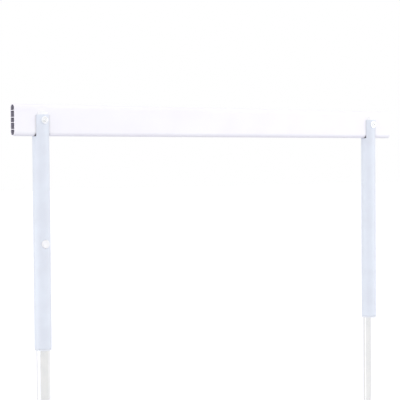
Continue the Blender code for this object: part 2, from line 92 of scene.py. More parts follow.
SIDES = ("left", "right")
bar_low, bar_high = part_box("crossbar")
bar_centre = middle("crossbar")
bar_size = extent("crossbar")
upright_x = {side: middle(f"{side}_post").x for side in SIDES}
left_x = upright_x["left"]
lock_z = middle("left_lock_spring").z
print("Uprights at x", upright_x, "and their locks at z", round(lock_z, 4))

# %% [markdown]
# ## Small helpers
# An operator acts on whatever is selected, so each helper first lets go of everything and then
# selects by place. Each one does a single job, as a hand at the keyboard would.


# %% Open, select and close
def only(piece):
    """Make one piece the only selected one."""
    if bpy.context.object and bpy.context.object.mode != "OBJECT":
        bpy.ops.object.mode_set(mode="OBJECT")
    bpy.ops.object.select_all(action="DESELECT")
    piece.select_set(True)
    bpy.context.view_layer.objects.active = piece


def open_mesh(piece):
    """Go into edit mode with nothing selected."""
    only(piece)
    bpy.ops.object.mode_set(mode="EDIT")
    bpy.ops.mesh.select_all(action="DESELECT")


def close_mesh():
    bpy.ops.object.mode_set(mode="OBJECT")


def choose(piece, kind, test):
    """In edit mode, select the verts, edges or faces that pass the test, and nothing else."""
    bpy.ops.mesh.select_mode(type=kind[:-1].upper())
    bpy.ops.mesh.select_all(action="DESELECT")
    form = bmesh.from_edit_mesh(piece.data)
    for item in getattr(form, kind):
        if test(item):
            item.select_set(True)
    bmesh.update_edit_mesh(piece.data)


def near(a, b):
    return abs(a - b) < SAME_PLACE


def settle():
    """In edit mode, weld what lies on the same spot and point every face outwards."""
    bpy.ops.mesh.select_all(action="SELECT")
    bpy.ops.mesh.remove_doubles(threshold=SAME_POINT)
    bpy.ops.mesh.normals_make_consistent(inside=False)


# %% Modifiers that are applied at once
SHARP_DEGREES = 40


def apply_modifier(piece, kind, **settings):
    only(piece)
    modifier = piece.modifiers.new(kind.lower(), kind)
    for name, value in settings.items():
        setattr(modifier, name, value)
    bpy.ops.object.modifier_apply(modifier=modifier.name)


def carve(piece, tool, operation="DIFFERENCE"):
    """Cut, join or intersect a piece with a tool, and throw the tool away."""
    apply_modifier(piece, "BOOLEAN", operation=operation, solver="EXACT", object=tool)
    bpy.data.objects.remove(tool)


def soften(piece, width):
    """Round every sharp edge a little, as deburring, paint or a mould does."""
    apply_modifier(
        piece,
        "BEVEL",
        width=width,
        segments=3,
        limit_method="ANGLE",
        angle_limit=math.radians(SHARP_DEGREES),
    )


# %% Primitives at their size and place
def bake_place(piece):
    """Move a piece's place, turn and size into its mesh, so that its object is at the origin."""
    only(piece)
    bpy.ops.object.transform_apply(location=True, rotation=True, scale=True)
    return piece


def block(name, low, high):
    centre = [(a + b) / 2 for a, b in zip(low, high)]
    size = [b - a for a, b in zip(low, high)]
    bpy.ops.mesh.primitive_cube_add(size=1, location=centre, scale=size)
    piece = bpy.context.object
    piece.name = name
    return bake_place(piece)


def rod(name, radius, start, end, steps=SMALL_STEPS):
    """A solid cylinder from one point to another."""
    start, end = Vector(start), Vector(end)
    bpy.ops.mesh.primitive_cylinder_add(
        vertices=steps,
        radius=radius,
        depth=(end - start).length,
        location=(start + end) / 2,
        rotation=(end - start).to_track_quat("Z", "Y").to_euler(),
    )
    piece = bpy.context.object
    piece.name = name
    return bake_place(piece)


def arc(centre, radii, start, end, steps):
    """Points along an ellipse's arc, in degrees."""
    angles = [math.radians(start + (end - start) * i / steps) for i in range(steps + 1)]
    (x, y), (width, height) = centre, radii
    return [(x + width * math.cos(a), y + height * math.sin(a)) for a in angles]


# %% A turned piece: extrude a profile point by point, then spin it
def turned(name, profile, placement, steps=SMALL_STEPS):
    """Spin (radius, height) points round the Z axis, then put the piece in its place."""
    bpy.ops.mesh.primitive_plane_add(size=MM)
    piece = bpy.context.object
    piece.name = name
    open_mesh(piece)
    bpy.ops.mesh.select_mode(type="VERT")
    bpy.ops.mesh.select_all(action="SELECT")
    bpy.ops.mesh.merge(type="CENTER")
    bpy.ops.transform.translate(value=(profile[0][0], 0, profile[0][1]))
    for (radius, height), (next_radius, next_height) in zip(profile, profile[1:]):
        step = (next_radius - radius, 0, next_height - height)
        bpy.ops.mesh.extrude_region_move(TRANSFORM_OT_translate={"value": step})
    bpy.ops.mesh.select_all(action="SELECT")
    bpy.ops.mesh.spin(steps=steps, angle=2 * math.pi, center=(0, 0, 0), axis=(0, 0, 1))
    settle()
    close_mesh()
    piece.matrix_world = placement
    return bake_place(piece)


def facing(x, y_sign, z):
    """Placement that turns a piece's own Z axis to the front (-1) or the rear (1)."""
    return Matrix.Translation((x, 0, z)) @ Matrix.Rotation(math.radians(-90) * y_sign, 4, "X")


# %% Hand a finished piece to the frame
SMOOTH_DEGREES = 35


def hand_over(piece, body, slot, material, *nodes):
    """Shade a piece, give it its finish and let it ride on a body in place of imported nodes."""
    bake_place(piece)
    bpy.ops.object.shade_smooth_by_angle(angle=math.radians(SMOOTH_DEGREES))
    apply_modifier(piece, "WEIGHTED_NORMAL", keep_sharp=True)
    if not piece.data.materials:
        piece.data.materials.append(material)
    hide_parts(*nodes)
    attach(piece, body)
    form = bmesh.new()
    form.from_mesh(piece.data)
    loose = sum(not edge.is_manifold for edge in form.edges)
    volume = form.calc_volume(signed=True) / MM**3
    form.free()
    print(f"{piece.name}: {len(piece.data.polygons)} faces, {volume:.0f} mm3, {loose} open edges")


def paint(piece, material, test):
    """Give a finish of their own to the faces that pass the test."""
    piece.data.materials.append(material)
    open_mesh(piece)
    choose(piece, "faces", test)
    piece.active_material_index = len(piece.data.materials) - 1
    bpy.ops.object.material_slot_assign()
    close_mesh()


# %% [markdown]
# ## Finishes
# Each finish starts from what the real surface is and how it was made. Colours are sRGB hex
# values, which one function turns to linear. Patterns read Object coordinates, so they stay on
# the piece when it moves, and each pattern's scale is a real size in millimetres. Some of them
# are finer than a pixel, so they are drawn a little coarser than life, as each cell says.


# %% Colour and node helpers
def linear(hex_colour):
    """Linear RGBA from an sRGB hex colour."""
    parts = [int(hex_colour[i : i + 2], 16) / 255 for i in (1, 3, 5)]
    return [c / 12.92 if c <= 0.04045 else ((c + 0.055) / 1.055) ** 2.4 for c in parts] + [1.0]


WHITE = linear("#FFFFFF")


def in_use(sockets):
    """The sockets that a node's settings leave in use."""
    return [socket for socket in sockets if socket.enabled]


def add_node(tree, kind, inputs=None, **settings):
    """Add a ShaderNode of this kind, set its own settings, then fill or link its inputs.

    An input is called by its name, or by its number where several share a name. A node that
    is given as a value stands for its first output in use.
    """
    node = tree.nodes.new("ShaderNode" + kind)
    for name, value in settings.items():
        setattr(node, name, value)
    named = {socket.name: socket for socket in in_use(node.inputs)}
    for key, value in (inputs or {}).items():
        socket = node.inputs[key] if isinstance(key, int) else named[key]
        if isinstance(value, bpy.types.Node):
            value = in_use(value.outputs)[0]
        if isinstance(value, bpy.types.NodeSocket):
            tree.links.new(value, socket)
        else:
            socket.default_value = value
    return node


def per_metre(millimetres):
    """Texture scale that makes one repeat about this long."""
    return 1 / (millimetres * MM)


# %% The first and the last step of every finish
def new_finish(name, **shader_inputs):
    """A material with its shader's even values set, its node tree, and the place on the piece."""
    material = bpy.data.materials.new(name)
    material.use_nodes = True
    tree = material.node_tree
    shader = tree.nodes["Principled BSDF"]
    for socket, value in shader_inputs.items():
        shader.inputs[socket.replace("_", " ")].default_value = value
    place = add_node(tree, "TexCoord").outputs["Object"]
    return material, tree, place


def wire_up(material, colour, roughness, height, **bump):
    """Link nodes for colour and roughness to a finish's shader, and a bump from its relief."""
    tree = material.node_tree
    shader = tree.nodes["Principled BSDF"]
    relief = add_node(tree, "Bump", {"Height": height, **bump})
    sources = {"Base Color": colour, "Roughness": roughness, "Normal": relief}
    for name, node in sources.items():
        tree.links.new(in_use(node.outputs)[0], shader.inputs[name])
    print(f"{material.name}: {len(tree.nodes)} nodes")


# %% [markdown]
# A noise texture keeps near the middle of its range. So its values between these limits are
# spread over the whole range, narrower ones for clouds than for a fine grain.

# %% Limits of a noise
GRAIN_LIMITS = {"From Min": 0.3, "From Max": 0.7}
CLOUD_LIMITS = {"From Min": 0.35, "From Max": 0.65}
print("Grain is spread from", GRAIN_LIMITS, "and clouds from", CLOUD_LIMITS)

# %% [markdown]
# ### Rigid PVC, extruded
# The bar is pushed hot through a steel die and cooled in a sizing sleeve. That leaves a smooth,
# faintly waxy white with fine lines along its length, and soft clouds where it cooled unevenly.
# The die lines are drawn 2.5 mm apart, coarser than the real ones, so that they catch the light.

# %% Extruded white PVC
white_pvc, tree, place = new_finish("extruded_white_pvc", IOR=1.53)
cooling = add_node(tree, "TexNoise", {"Vector": place, "Scale": per_metre(110), "Detail": 3.0})
cloud = add_node(tree, "MapRange", {"Value": cooling, **CLOUD_LIMITS})
clean_tone = add_node(
    tree, "Mix", {"Factor": cloud, "A": linear("#F9F7FD"), "B": linear("#FCFBFF")}, data_type="RGBA"
)
along_bar = add_node(tree, "Mapping", {"Vector": place, "Scale": (0.006, 1, 1)})
die_lines = add_node(
    tree,
    "TexNoise",
    {"Vector": along_bar, "Scale": per_metre(2.5), "Detail": 4.0, "Roughness": 0.6},
)
gloss = add_node(
    tree, "MapRange", {"Value": die_lines, **GRAIN_LIMITS, "To Min": 0.33, "To Max": 0.45}
)

# %% [markdown]
# Beside each upright a thin line of painted shade lies on the bar, where the ear shades the bar's
# face. It is darkest in the corner under the bar, where little light gets in. The line is
# measured from the upright's axis, and it ends where the sleeve's ear does.

# %% Painted shade on the bar beside the ears
PAINTED_SHADE_START = 17.5 * MM
PAINTED_SHADE_WIDTH = 5 * MM
PAINTED_SHADE_SHARPNESS = 2.0
FAINT_PAINTED_SHADE = 0.28
FULL_PAINTED_SHADE_HEIGHT = 3 * MM
FAINT_PAINTED_SHADE_HEIGHT = 8 * MM
PAINTED_SHADE_TOP_FADE = 2 * MM
ear_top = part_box("left_sleeve")[1].z

position = add_node(tree, "SeparateXYZ", {"Vector": place})
out_from_middle = add_node(tree, "Math", {0: position.outputs["X"]}, operation="ABSOLUTE")
past_upright = add_node(
    tree, "Math", {0: out_from_middle, 1: upright_x["right"]}, operation="SUBTRACT"
)
from_upright = add_node(tree, "Math", {0: past_upright}, operation="ABSOLUTE")
fading_line = add_node(
    tree,
    "MapRange",
    {"Value": from_upright, "From Min": PAINTED_SHADE_START + PAINTED_SHADE_WIDTH, "From Max": PAINTED_SHADE_START},
)
thin_line = add_node(tree, "Math", {0: fading_line, 1: PAINTED_SHADE_SHARPNESS}, operation="POWER")
lower_corner = add_node(
    tree,
    "MapRange",
    {
        "Value": position.outputs["Z"],
        "From Min": bar_low.z + FAINT_PAINTED_SHADE_HEIGHT,
        "From Max": bar_low.z + FULL_PAINTED_SHADE_HEIGHT,
        "To Min": FAINT_PAINTED_SHADE,
    },
)
below_ear_top = add_node(
    tree,
    "MapRange",
    {"Value": position.outputs["Z"], "From Min": ear_top, "From Max": ear_top - PAINTED_SHADE_TOP_FADE},
)
line_by_ear = add_node(tree, "Math", {0: thin_line, 1: below_ear_top}, operation="MULTIPLY")
painted_shade_and_grime = add_node(tree, "Math", {0: line_by_ear, 1: lower_corner}, operation="MULTIPLY")
# The dark colour is painted shade: the ear's shadow on the bar and the dark corner under it.
tone = add_node(
    tree, "Mix", {"Factor": painted_shade_and_grime, "A": clean_tone, "B": linear("#4C4954")}, data_type="RGBA"
)
wire_up(white_pvc, tone, gloss, die_lines, Strength=0.35, Distance=0.05 * MM)

# %% [markdown]
# ### Skins of a single grain
# Some skins are simple: one grain, of saw marks, dust, oil or grit, sets the colour, the gloss
# and the relief at once. They share one recipe, and each gives it its own figures. A stretched
# place draws the grain out into lines.


# %% The recipe
def grained(name, tones, roughness, grain, relief, stretch=None, **shader_inputs):
    """A finish whose tone, gloss and relief all follow one noise."""
    material, tree, place = new_finish(name, **shader_inputs)
    if stretch:
        place = add_node(tree, "Mapping", {"Vector": place, **stretch})
    noise = add_node(tree, "TexNoise", {"Vector": place, **grain})
    tone = add_node(
        tree,
        "Mix",
        {"Factor": noise, "A": linear(tones[0]), "B": linear(tones[1])},
        data_type="RGBA",
    )
    gloss = add_node(
        tree, "MapRange", {"Value": noise, "To Min": roughness[0], "To Max": roughness[1]}
    )
    wire_up(material, tone, gloss, noise, **relief)
    return material


# %% [markdown]
# The bar's two ends were sawn to length. A saw leaves the plastic duller and whiter, with fine
# parallel marks across it. Inside, the chambers never touched the polished die, so their skin is
# dull. Their grey, much darker than the outside, is painted shade for the dark inside the
# chambers, where little light gets in.

# %% Sawn PVC and the chambers' painted shade
sawn_pvc = grained(
    "sawn_white_pvc",
    tones=("#EDEAF2", "#FAF9FC"),
    roughness=(0.62, 0.82),
    grain={"Scale": per_metre(0.7), "Detail": 3.0, "Roughness": 0.7},
    relief={"Strength": 0.5, "Distance": 0.08 * MM},
    stretch={"Rotation": (math.radians(20), 0, 0), "Scale": (1, 0.05, 1)},
    IOR=1.53,
)
# The chambers' grey is painted shade. Their dull gloss is real.
chamber_painted_shade = grained(
    "dusty_chamber_skin",
    tones=("#A29EAC", "#BBB8C4"),
    roughness=(0.7, 0.9),
    grain={"Scale": per_metre(4), "Detail": 4.0, "Roughness": 0.6},
    relief={"Strength": 0.3, "Distance": 0.1 * MM},
    IOR=1.5,
)

# %% [markdown]
# The powder coat's spray doesn't reach far into a sleeve, so past the slot's edges the bore is
# bare steel. Its grey is painted far darker than bare steel, as painted shade for the dark gaps
# under the bar.

# %% Bare steel bore, in painted shade
bore_painted_shade = grained(
    "dull_steel_bore",
    tones=("#4C4D54", "#6F7078"),
    roughness=(0.5, 0.75),
    grain={"Scale": per_metre(6), "Detail": 5.0, "Roughness": 0.65},
    relief={"Strength": 0.3, "Distance": 0.05 * MM},
    Metallic=1.0,
)

# %% [markdown]
# The lock's springs are hard-drawn wire with a film of oil, darker than the plated steel. The
# brake shoes are black rubber, ground to the curve of the post's bore, with a gritty skin.

# %% Oiled spring wire and ground brake rubber
spring_wire = grained(
    "oiled_spring_wire",
    tones=("#8E9096", "#BEBFC2"),
    roughness=(0.2, 0.4),
    grain={"Scale": per_metre(1.5), "Detail": 4.0},
    relief={"Strength": 0.2, "Distance": 0.02 * MM},
    Metallic=1.0,
)
brake_rubber = grained(
    "ground_brake_rubber",
    tones=("#1C1C1F", "#3A3A3E"),
    roughness=(0.7, 0.92),
    grain={"Scale": per_metre(0.8), "Detail": 5.0, "Roughness": 0.7},
    relief={"Strength": 0.6, "Distance": 0.1 * MM},
    IOR=1.52,
)

# %% [markdown]
# ### Powder coat
# The sleeves are steel tube, sprayed with dry powder and baked. The coat melts to a smooth film
# with a slight orange peel, about 2 mm from bump to bump, and it is thinnest on the edges of the
# slot, where the bar and its packers rub it dull.

# %% Lavender powder coat
powder_coat, tree, place = new_finish("lavender_powder_coat", IOR=1.5)
flow = add_node(tree, "TexNoise", {"Vector": place, "Scale": per_metre(45), "Detail": 3.0})
film = add_node(tree, "MapRange", {"Value": flow, **CLOUD_LIMITS})
coat_tone = add_node(
    tree, "Mix", {"Factor": film, "A": linear("#E3E8F1"), "B": linear("#E7EDF6")}, data_type="RGBA"
)
film_gloss = add_node(
    tree, "MapRange", {"Value": flow, **GRAIN_LIMITS, "To Min": 0.3, "To Max": 0.4}
)
orange_peel = add_node(tree, "TexNoise", {"Vector": place, "Scale": per_metre(2), "Detail": 1.0})

# %% The coat's rubbed edges beside the slot
RUB_START = 0.3 * MM
RUB_END = 2.4 * MM
RUB_BELOW_BAR = 1 * MM

position = add_node(tree, "SeparateXYZ", {"Vector": place})
from_middle = add_node(tree, "Math", {0: position.outputs["Y"]}, operation="ABSOLUTE")
by_slot = add_node(
    tree,
    "MapRange",
    {
        "Value": from_middle,
        "From Min": bar_size.y / 2 + RUB_END,
        "From Max": bar_size.y / 2 + RUB_START,
    },
)
above_floor = add_node(
    tree, "Math", {0: position.outputs["Z"], 1: bar_low.z - RUB_BELOW_BAR}, operation="GREATER_THAN"
)
rub = add_node(tree, "TexNoise", {"Vector": place, "Scale": per_metre(9), "Detail": 3.0})
rub_patches = add_node(
    tree, "MapRange", {"Value": rub, "From Min": 0.35, "From Max": 0.7, "To Max": 0.5}
)
rubbed_edge = add_node(tree, "Math", {0: by_slot, 1: above_floor}, operation="MULTIPLY")
rubbed = add_node(tree, "Math", {0: rubbed_edge, 1: rub_patches}, operation="MULTIPLY")
tone = add_node(
    tree, "Mix", {"Factor": rubbed, "A": coat_tone, "B": linear("#CACDD6")}, data_type="RGBA"
)
gloss = add_node(tree, "Math", {0: rubbed, 1: 0.2, 2: film_gloss}, operation="MULTIPLY_ADD")
wire_up(powder_coat, tone, gloss, orange_peel, Strength=0.4, Distance=0.05 * MM)

# %% [markdown]
# ### Bright zinc on drawn tube
# The posts are drawn steel tube, zinc-plated and brightened. Drawing leaves fine lines along the
# tube, and the bushes rub longer, duller ones as the sleeves go up and down. Plating gives
# faint clouds. The drawn lines are shown 1 mm apart, a few times coarser than life. The lowest
# centimetres go grey and dull, where the tube is pushed into its base and set down on the track.

# %% Bright zinc tube: its scuffed foot and its clouds
SCUFFED_UP_TO = 85 * MM

zinc_tube, tree, place = new_finish("bright_zinc_tube", Metallic=1.0)
position = add_node(tree, "SeparateXYZ", {"Vector": place})
near_foot = add_node(
    tree,
    "MapRange",
    {"Value": position.outputs["Z"], "From Min": SCUFFED_UP_TO, "From Max": SCUFFED_UP_TO / 3},
)
# On the post this noise makes real grime on the foot.
painted_shade_and_grime = add_node(
    tree, "TexNoise", {"Vector": place, "Scale": per_metre(14), "Detail": 5.0, "Roughness": 0.6}
)
grime_patches = add_node(tree, "MapRange", {"Value": painted_shade_and_grime, **CLOUD_LIMITS, "To Min": 0.4})
scuffed = add_node(tree, "Math", {0: near_foot, 1: grime_patches}, operation="MULTIPLY")
plating = add_node(tree, "TexNoise", {"Vector": place, "Scale": per_metre(28), "Detail": 4.0})
cloud = add_node(tree, "MapRange", {"Value": plating, **CLOUD_LIMITS})
plated_tone = add_node(
    tree, "Mix", {"Factor": cloud, "A": linear("#F5F6F7"), "B": linear("#FBFBFB")}, data_type="RGBA"
)
tone = add_node(
    tree, "Mix", {"Factor": scuffed, "A": plated_tone, "B": linear("#B9BBC0")}, data_type="RGBA"
)

# %% Bright zinc tube: its drawn lines and its slide marks
down_tube = add_node(tree, "Mapping", {"Vector": place, "Scale": (1, 1, 0.008)})
drawn_lines = add_node(
    tree, "TexNoise", {"Vector": down_tube, "Scale": per_metre(1), "Detail": 4.0, "Roughness": 0.65}
)
slide_marks = add_node(
    tree, "TexNoise", {"Vector": down_tube, "Scale": per_metre(4), "Detail": 5.0, "Roughness": 0.7}
)
marks = add_node(
    tree, "MapRange", {"Value": slide_marks, "From Min": 0.56, "From Max": 0.66, "To Max": 0.12}
)
lines = add_node(
    tree, "MapRange", {"Value": drawn_lines, **GRAIN_LIMITS, "To Min": 0.1, "To Max": 0.18}
)
worn_gloss = add_node(tree, "Math", {0: lines, 1: marks}, operation="ADD")
gloss = add_node(tree, "Math", {0: scuffed, 1: 0.3, 2: worn_gloss}, operation="MULTIPLY_ADD")
wire_up(zinc_tube, tone, gloss, drawn_lines, Strength=0.25, Distance=0.02 * MM)

# %% [markdown]
# ### Moulded nylon
# Packers, caps, glides and buttons are moulded in white nylon. The mould is spark-eroded, so the
# skin has a fine matt grain, drawn here at 0.6 mm, and light sinks a little into it. The washers
# and the bushes are the same plastic with a touch of the sleeves' tint.

# %% White and pale nylon
NYLON_TONES = {
    "moulded_white_nylon": ("#F8F8FA", "#FDFDFE"),
    "moulded_pale_nylon": ("#E6EAF1", "#EEF1F6"),
}
nylon = {}
for name, (shade, light) in NYLON_TONES.items():
    nylon[name], tree, place = new_finish(
        name,
        IOR=1.53,
        Subsurface_Weight=0.15,
        Subsurface_Scale=1 * MM,
        Subsurface_Radius=(1, 1, 1),
    )
    moulding = add_node(tree, "TexNoise", {"Vector": place, "Scale": per_metre(9), "Detail": 2.0})
    tone = add_node(
        tree, "Mix", {"Factor": moulding, "A": linear(shade), "B": linear(light)}, data_type="RGBA"
    )
    spark_grain = add_node(
        tree, "TexNoise", {"Vector": place, "Scale": per_metre(0.6), "Detail": 2.0}
    )
    gloss = add_node(
        tree, "MapRange", {"Value": spark_grain, **GRAIN_LIMITS, "To Min": 0.4, "To Max": 0.52}
    )
    wire_up(nylon[name], tone, gloss, spark_grain, Strength=0.3, Distance=0.03 * MM)
white_nylon, pale_nylon = nylon.values()

# %% [markdown]
# ### Bright zinc on turned steel
# Bolts, cap nuts and spacers are turned or pressed steel with a bright zinc plate. The tool's
# marks are rings round the bolt's own axis, so the pattern measures the distance from that axis.
# Both bolts stand equally far from the middle, which lets one pattern serve both.

# %% Bright zinc fastener
bright_fastener, tree, place = new_finish("bright_zinc_fastener", Metallic=1.0)
position = add_node(tree, "SeparateXYZ", {"Vector": place})
out_from_middle = add_node(tree, "Math", {0: position.outputs["X"]}, operation="ABSOLUTE")
sideways = add_node(tree, "Math", {0: out_from_middle, 1: upright_x["right"]}, operation="SUBTRACT")
upwards = add_node(tree, "Math", {0: position.outputs["Z"], 1: bar_centre.z}, operation="SUBTRACT")
from_axis = add_node(tree, "CombineXYZ", {"X": sideways, "Z": upwards})
radius = add_node(tree, "VectorMath", {0: from_axis}, operation="LENGTH")
rings = add_node(
    tree, "TexNoise", {"W": radius, "Scale": per_metre(0.5), "Detail": 3.0}, noise_dimensions="1D"
)
plating = add_node(tree, "TexNoise", {"Vector": place, "Scale": per_metre(3), "Detail": 3.0})
tone = add_node(
    tree,
    "Mix",
    {"Factor": plating, "A": linear("#EEF0F3"), "B": linear("#FAFAFA")},
    data_type="RGBA",
)
gloss = add_node(tree, "MapRange", {"Value": rings, **GRAIN_LIMITS, "To Min": 0.14, "To Max": 0.26})
wire_up(bright_fastener, tone, gloss, rings, Strength=0.25, Distance=0.02 * MM)

# %% [markdown]
# ## The crossbar
# The real bar is one rigid PVC extrusion: a plank with full round edges and five chambers, sawn
# to length and left open. It could be a curve with a bevel profile, but a block whose long edges
# are rounded shows better how the section comes about. The chambers are then pushed through it
# with rods of their own shape.


# %% A long bar with chosen edge radii
def long_bar(name, low, high, low_radius, high_radius, steps):
    """A block along X whose two lower and two upper long edges are rounded."""
    piece = block(name, low, high)
    middle_z = (low[2] + high[2]) / 2
    for radius, upper in ((low_radius, False), (high_radius, True)):

        def long_edge(edge):
            a, b = (v.co for v in edge.verts)
            outer = near(abs(a.y), abs(low[1]))
            return abs(a.x - b.x) > 1 * MM and outer and (a.z > middle_z) == upper

        open_mesh(piece)
        choose(piece, "edges", long_edge)
        bpy.ops.mesh.bevel(offset=radius, segments=steps, affect="EDGES", clamp_overlap=False)
        bpy.ops.mesh.select_all(action="SELECT")
        bpy.ops.mesh.remove_doubles(threshold=SAME_POINT)
        close_mesh()
    return piece


# %% The plank
BAR_WALL = 2 * MM
bar_radius = bar_size.y / 2
plank = long_bar("bar_extrusion", bar_low, bar_high, bar_radius, bar_radius, steps=24)
print("The plank is", round(bar_size.z / MM, 1), "mm high before it is hollowed")

# %% Its five chambers
WEB_THICKNESS = 1.5 * MM
OUTER_WEB_HEIGHT = 22 * MM
CHAMBER_CORNER = 1 * MM
OVERSHOOT = 5 * MM

half_web = WEB_THICKNESS / 2
inner_web_height = extent("left_spacer").z / 2 + GAP + half_web
chamber_half_width = bar_radius - BAR_WALL
end_height = bar_size.z / 2 - BAR_WALL
heights = [
    (-inner_web_height + half_web, inner_web_height - half_web, CHAMBER_CORNER, CHAMBER_CORNER),
    (inner_web_height + half_web, OUTER_WEB_HEIGHT - half_web, CHAMBER_CORNER, CHAMBER_CORNER),
    (OUTER_WEB_HEIGHT + half_web, end_height, CHAMBER_CORNER, chamber_half_width),
]
heights += [(-high, -low, above, below) for low, high, below, above in heights[1:]]
reach = bar_size.x / 2 + OVERSHOOT
for low, high, low_radius, high_radius in heights:
    low_corner = (-reach, -chamber_half_width, bar_centre.z + low)
    high_corner = (reach, chamber_half_width, bar_centre.z + high)
    form = long_bar("chamber_rod", low_corner, high_corner, low_radius, high_radius, steps=10)
    carve(plank, form)
print("The plank has", len(heights), "chambers")

# %% Its bolt holes, and edges as a saw and a deburring knife leave them
BOLT_HOLE_RADIUS = 4.3 * MM
DRILL_REACH = 40 * MM
SAWN_EDGE = 0.3 * MM


def drill_for_bolt(piece, x):
    """Drill straight through, front to rear, where a bolt goes."""
    front, rear = (x, -DRILL_REACH, bar_centre.z), (x, DRILL_REACH, bar_centre.z)
    carve(piece, rod("bolt_drill", BOLT_HOLE_RADIUS, front, rear))


for x in upright_x.values():
    drill_for_bolt(plank, x)
soften(plank, SAWN_EDGE)


# %% Its three finishes
SQUARE_ON = 0.9


def is_sawn(face):
    return abs(face.normal.x) > SQUARE_ON


def is_in_chamber(face):
    """True for faces nearer to the section's middle line than the outer skin is."""
    centre = face.calc_center_median()
    beyond = max(0, abs(centre.z - bar_centre.z) - (bar_size.z / 2 - bar_radius))
    return math.hypot(centre.y, beyond) < bar_radius - BAR_WALL / 2 and not is_sawn(face)


plank.data.materials.append(white_pvc)
paint(plank, sawn_pvc, is_sawn)
paint(plank, chamber_painted_shade, is_in_chamber)
hand_over(plank, "crossbar_frame", "bar_plastic", white_pvc, "crossbar")

# %% [markdown]
# ## The tubes
# Sleeves and posts are drawn steel tubes. An open cylinder gets its wall from Solidify, and the
# rims are bevelled before any hole is cut, while they are still clean loops.

# %% A tube with eased rims
TUBE_RIM = 0.4 * MM
SIDE_ON = 0.1


def is_rim(edge):
    """True for the level edges between a tube's end ring and its inner or outer wall."""
    level = near(edge.verts[0].co.z, edge.verts[1].co.z)
    lying = any(abs(face.normal.z) > SQUARE_ON for face in edge.link_faces)
    standing = any(abs(face.normal.z) < SIDE_ON for face in edge.link_faces)
    return level and lying and standing


def tube(name, node, wall):
    """A tube round the upright's axis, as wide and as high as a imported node."""
    low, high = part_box(node)
    bpy.ops.mesh.primitive_cylinder_add(
        vertices=TUBE_STEPS,
        radius=(high.y - low.y) / 2,
        depth=high.z - low.z,
        end_fill_type="NOTHING",
        location=(low + high) / 2,
    )
    piece = bake_place(bpy.context.object)
    piece.name = name
    apply_modifier(piece, "SOLIDIFY", thickness=wall, offset=-1, use_even_offset=True)
    open_mesh(piece)
    choose(piece, "edges", is_rim)
    bpy.ops.mesh.bevel(offset=TUBE_RIM, segments=3, affect="EDGES")
    close_mesh()
    return piece


# %% [markdown]
# The two uprights are alike, and the right one is turned round, so that its button is at the
# rear. So each piece is modelled once, on the left upright, and copied: half a turn about the
# bar's middle takes it to its place on the right one.

# %% Copies with a mesh of their own
HALF_TURN = Matrix.Rotation(math.pi, 4, "Z")
TO_RIGHT = Matrix.Translation((-2 * left_x, 0, 0))


def copied(piece, name, placement):
    only(piece)
    bpy.ops.object.duplicate()
    twin = bpy.context.object
    twin.name = name
    twin.matrix_world = placement
    return bake_place(twin)


def both_sides(piece, placement=HALF_TURN):
    """The left upright's piece, then its copy on the right upright."""
    return piece, copied(piece, piece.name.replace("left", "right"), placement)


# %% [markdown]
# Each sleeve has a slot across its top, in which the bar sits, holes for the bar's bolt, and a
# round hole for the push button. The powder coat rounds every cut edge, and the bore stays bare,
# in the dark steel of its painted shade.

# %% Sleeves
SLEEVE_WALL = 2 * MM
SLOT_CORNER = 3 * MM
COATED_EDGE = 0.3 * MM
INWARDS = -0.98
sleeve_radius = extent("left_sleeve").y / 2
slot_half_width = bar_size.y / 2 + GAP
slot_floor = bar_low.z - GAP
button_hole_radius = extent("left_lock_button").x / 2 + GAP


def is_in_bore(face):
    """True for standing faces that look towards the left upright's axis."""
    centre = face.calc_center_median()
    outwards = Vector((centre.x - left_x, centre.y, 0)).normalized()
    return face.normal.dot(outwards) < INWARDS


sleeve = tube("left_slotted_sleeve", "left_sleeve", SLEEVE_WALL)
slot_low = (left_x - 2 * sleeve_radius, -slot_half_width, slot_floor)
slot_high = (left_x + 2 * sleeve_radius, slot_half_width, ear_top + sleeve_radius)
carve(sleeve, long_bar("slot_cutter", slot_low, slot_high, SLOT_CORNER, SLOT_CORNER, steps=8))
drill_for_bolt(sleeve, left_x)
outside = (left_x, -2 * sleeve_radius, lock_z)
carve(sleeve, rod("button_drill", button_hole_radius, (left_x, 0, lock_z), outside))
soften(sleeve, COATED_EDGE)
sleeve.data.materials.append(powder_coat)
# The bore's dark steel is painted shade.
paint(sleeve, bore_painted_shade, is_in_bore)
for side, piece in zip(SIDES, both_sides(sleeve)):
    hand_over(piece, "crossbar_frame", "sleeve_paint", powder_coat, f"{side}_sleeve")

# %% [markdown]
# Each post has one long slot, in which the button's stem travels. Its length is the height
# slide's range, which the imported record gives, and its ends are half round. It is milled with a
# block whose four standing edges are rounded until they meet.

# %% Posts
POST_WALL = 2 * MM
STEM_RADIUS = 4 * MM
STOP_CLEARANCE = 0.8 * MM
MILLED_EDGE = 0.2 * MM
lowest, highest = joint_named("height_slide")["range_m"]
post_radius = extent("left_post").y / 2
slot_half = STEM_RADIUS + GAP

post = tube("left_drawn_post", "left_post", POST_WALL)
mill = block(
    "slot_mill",
    (left_x - slot_half, -2 * post_radius, lock_z + lowest - STOP_CLEARANCE - slot_half),
    (left_x + slot_half, 0, lock_z + highest + STOP_CLEARANCE + slot_half),
)
open_mesh(mill)
choose(mill, "edges", lambda edge: abs(edge.verts[0].co.y - edge.verts[1].co.y) > MM)
bpy.ops.mesh.bevel(offset=slot_half, segments=12, affect="EDGES", clamp_overlap=False)
settle()
close_mesh()
carve(post, mill)
soften(post, MILLED_EDGE)
for side, piece in zip(SIDES, both_sides(post)):
    hand_over(piece, "posts", "post_zinc", zinc_tube, f"{side}_post")

# %% [markdown]
# ## The guide bushes and the post caps
# A flanged nylon bush is pressed into each sleeve's lower end and runs on the post. Its flange is
# the pale collar under the sleeve. A nylon cap on the post's upper end runs in the sleeve's bore.
# Both are round, so they are drawn as a profile and spun.

